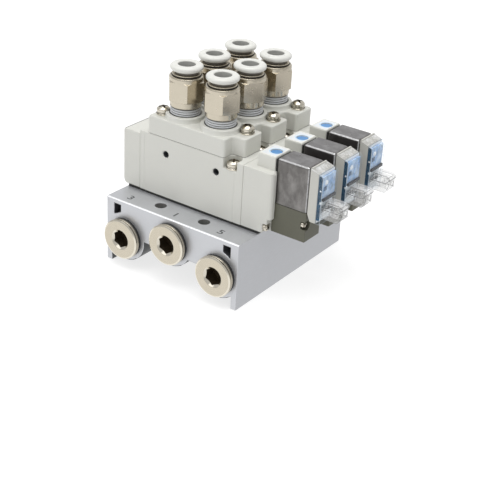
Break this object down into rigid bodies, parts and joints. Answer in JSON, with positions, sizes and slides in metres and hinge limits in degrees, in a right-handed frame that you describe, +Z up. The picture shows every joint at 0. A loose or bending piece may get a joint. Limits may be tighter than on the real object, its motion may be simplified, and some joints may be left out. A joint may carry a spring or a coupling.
{
  "type": "pneumatic solenoid valve manifold",
  "caption": "Bar manifold with solenoid valves side by side: extruded base with plugged gallery ports, push-in tube fittings on top, pilot coils and plug connectors at one end.",
  "frame": {"origin": "centre of the bar's footprint, in the plane of its two feet", "axes": "+X along the valves toward the pilot coils, +Y along the bar away from the plugged ports, +Z up"},
  "size_m": [0.0909, 0.0724, 0.0763],
  "materials": {
    "anodised_bar": "satin, clear anodised",
    "nickel_plated_brass": "nickel plated, semi-bright",
    "painted_die_casting": "warm grey paint, satin",
    "grey_moulding": "warm grey, satin",
    "black_rubber": "matt",
    "aluminium_spool": "turned",
    "blue_plastic": "smooth",
    "dark_steel": "dark warm grey, satin",
    "copper_winding": "wound wire under tape",
    "magnetic_steel": "ground",
    "olive_moulding": "matt",
    "housing_moulding": "satin",
    "clear_blue_plastic": "clear over blue",
    "clear_plastic": "clear",
    "white_plastic": "smooth",
    "plated_steel": "bright plated"
  },
  "bodies": {
    "valve_assembly": {"manifold": "anodised_bar", "port_plugs": "nickel_plated_brass", "plug_seals": "black_rubber", "gaskets": "black_rubber", "valve_body_1": "painted_die_casting", "valve_body_2": "painted_die_casting", "valve_body_3": "painted_die_casting", "end_cap_1": "grey_moulding", "end_cap_2": "grey_moulding", "end_cap_3": "grey_moulding", "port_block_1": "painted_die_casting", "port_block_2": "painted_die_casting", "port_block_3": "painted_die_casting", "pilot_adaptor_1": "grey_moulding", "pilot_adaptor_2": "grey_moulding", "pilot_adaptor_3": "grey_moulding", "pilot_gaskets": "black_rubber", "coil_cover_1": "dark_steel", "coil_cover_2": "dark_steel", "coil_cover_3": "dark_steel", "coil_1": "copper_winding", "coil_2": "copper_winding", "coil_3": "copper_winding", "pilot_base_1": "olive_moulding", "pilot_base_2": "olive_moulding", "pilot_base_3": "olive_moulding", "connector_housing_1": "housing_moulding", "connector_housing_2": "housing_moulding", "connector_housing_3": "housing_moulding", "clear_window_1": "clear_blue_plastic", "clear_window_2": "clear_blue_plastic", "clear_window_3": "clear_blue_plastic", "lead_plug_1": "clear_plastic", "lead_plug_2": "clear_plastic", "lead_plug_3": "clear_plastic", "fittings_1": "nickel_plated_brass", "fittings_2": "nickel_plated_brass", "fittings_3": "nickel_plated_brass", "block_screws": "plated_steel", "valve_screws": "plated_steel", "pilot_screws": "plated_steel"},
    "override_button_1": {"override_button_1": "blue_plastic"},
    "spool_1": {"spool_1": "aluminium_spool"},
    "armature_1": {"armature_1": "magnetic_steel"},
    "release_collar_1a": {"release_collar_1a": "white_plastic"},
    "release_collar_1b": {"release_collar_1b": "white_plastic"},
    "override_button_2": {"override_button_2": "blue_plastic"},
    "spool_2": {"spool_2": "aluminium_spool"},
    "armature_2": {"armature_2": "magnetic_steel"},
    "release_collar_2a": {"release_collar_2a": "white_plastic"},
    "release_collar_2b": {"release_collar_2b": "white_plastic"},
    "override_button_3": {"override_button_3": "blue_plastic"},
    "spool_3": {"spool_3": "aluminium_spool"},
    "armature_3": {"armature_3": "magnetic_steel"},
    "release_collar_3a": {"release_collar_3a": "white_plastic"},
    "release_collar_3b": {"release_collar_3b": "white_plastic"}
  },
  "joints": [
    {"name": "override_push_1", "type": "slide", "parent": "valve_assembly", "child": "override_button_1", "axis": [0, 0, -1], "range_m": [0, 0.0012], "stiffness_N_per_m": 500},
    {"name": "spool_shift_1", "type": "slide", "parent": "valve_assembly", "child": "spool_1", "axis": [-1, 0, 0], "range_m": [0, 0.003], "stiffness_N_per_m": 200},
    {"name": "armature_pull_1", "type": "slide", "parent": "valve_assembly", "child": "armature_1", "axis": [1, 0, 0], "range_m": [0, 0.0006], "stiffness_N_per_m": 300},
    {"name": "collar_press_1a", "type": "slide", "parent": "valve_assembly", "child": "release_collar_1a", "axis": [0, 0, -1], "range_m": [0, 0.0007], "stiffness_N_per_m": 800},
    {"name": "collar_press_1b", "type": "slide", "parent": "valve_assembly", "child": "release_collar_1b", "axis": [0, 0, -1], "range_m": [0, 0.0007], "stiffness_N_per_m": 800},
    {"name": "override_push_2", "type": "slide", "parent": "valve_assembly", "child": "override_button_2", "axis": [0, 0, -1], "range_m": [0, 0.0012], "stiffness_N_per_m": 500},
    {"name": "spool_shift_2", "type": "slide", "parent": "valve_assembly", "child": "spool_2", "axis": [-1, 0, 0], "range_m": [0, 0.003], "stiffness_N_per_m": 200},
    {"name": "armature_pull_2", "type": "slide", "parent": "valve_assembly", "child": "armature_2", "axis": [1, 0, 0], "range_m": [0, 0.0006], "stiffness_N_per_m": 300},
    {"name": "collar_press_2a", "type": "slide", "parent": "valve_assembly", "child": "release_collar_2a", "axis": [0, 0, -1], "range_m": [0, 0.0007], "stiffness_N_per_m": 800},
    {"name": "collar_press_2b", "type": "slide", "parent": "valve_assembly", "child": "release_collar_2b", "axis": [0, 0, -1], "range_m": [0, 0.0007], "stiffness_N_per_m": 800},
    {"name": "override_push_3", "type": "slide", "parent": "valve_assembly", "child": "override_button_3", "axis": [0, 0, -1], "range_m": [0, 0.0012], "stiffness_N_per_m": 500},
    {"name": "spool_shift_3", "type": "slide", "parent": "valve_assembly", "child": "spool_3", "axis": [-1, 0, 0], "range_m": [0, 0.003], "stiffness_N_per_m": 200},
    {"name": "armature_pull_3", "type": "slide", "parent": "valve_assembly", "child": "armature_3", "axis": [1, 0, 0], "range_m": [0, 0.0006], "stiffness_N_per_m": 300},
    {"name": "collar_press_3a", "type": "slide", "parent": "valve_assembly", "child": "release_collar_3a", "axis": [0, 0, -1], "range_m": [0, 0.0007], "stiffness_N_per_m": 800},
    {"name": "collar_press_3b", "type": "slide", "parent": "valve_assembly", "child": "release_collar_3b", "axis": [0, 0, -1], "range_m": [0, 0.0007], "stiffness_N_per_m": 800}
  ]
}
